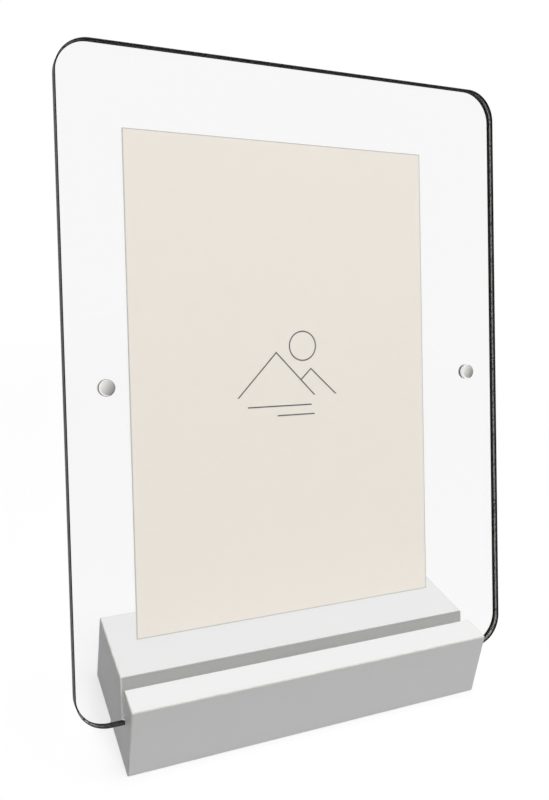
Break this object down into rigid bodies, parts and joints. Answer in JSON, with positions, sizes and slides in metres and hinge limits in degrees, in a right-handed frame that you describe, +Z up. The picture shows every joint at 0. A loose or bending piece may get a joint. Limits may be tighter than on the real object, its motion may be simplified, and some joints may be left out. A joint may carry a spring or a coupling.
{
  "type": "acrylic block picture frame",
  "caption": "Tabletop picture frame: two clear acrylic sheets clamp an upright print with small disc magnets and lean back in the slot of a white block base.",
  "frame": {"origin": "centre of the base's underside, on the surface that the frame stands on", "axes": "+Z up, +X the viewer's right, the picture side faces -Y"},
  "size_m": [0.15, 0.0743, 0.1972],
  "materials": {
    "white_lacquer": "white satin lacquer",
    "clear_acrylic": "clear, polished, with dark edges",
    "cream_card": "matt card",
    "magnet_nickel": "brushed nickel plate"
  },
  "bodies": {
    "base": {"base_block": "white_lacquer"},
    "rear_half": {"rear_sheet": "clear_acrylic", "rear_magnet_left": "magnet_nickel", "rear_magnet_right": "magnet_nickel"},
    "front_half": {"front_sheet": "clear_acrylic", "front_magnet_left": "magnet_nickel", "front_magnet_right": "magnet_nickel"},
    "print": {"photo_print": "cream_card"}
  },
  "joints": [
    {"name": "pair_lift", "type": "slide", "parent": "base", "child": "rear_half", "axis": [0, 0.3289, 0.9444], "range_m": [0, 0.016]},
    {"name": "front_lift", "type": "slide", "parent": "rear_half", "child": "front_half", "axis": [0, 0.3289, 0.9444], "range_m": [0, 0.016]},
    {"name": "print_slide", "type": "slide", "parent": "rear_half", "child": "print", "axis": [0, 0.3289, 0.9444], "range_m": [0, 0.1715]}
  ]
}
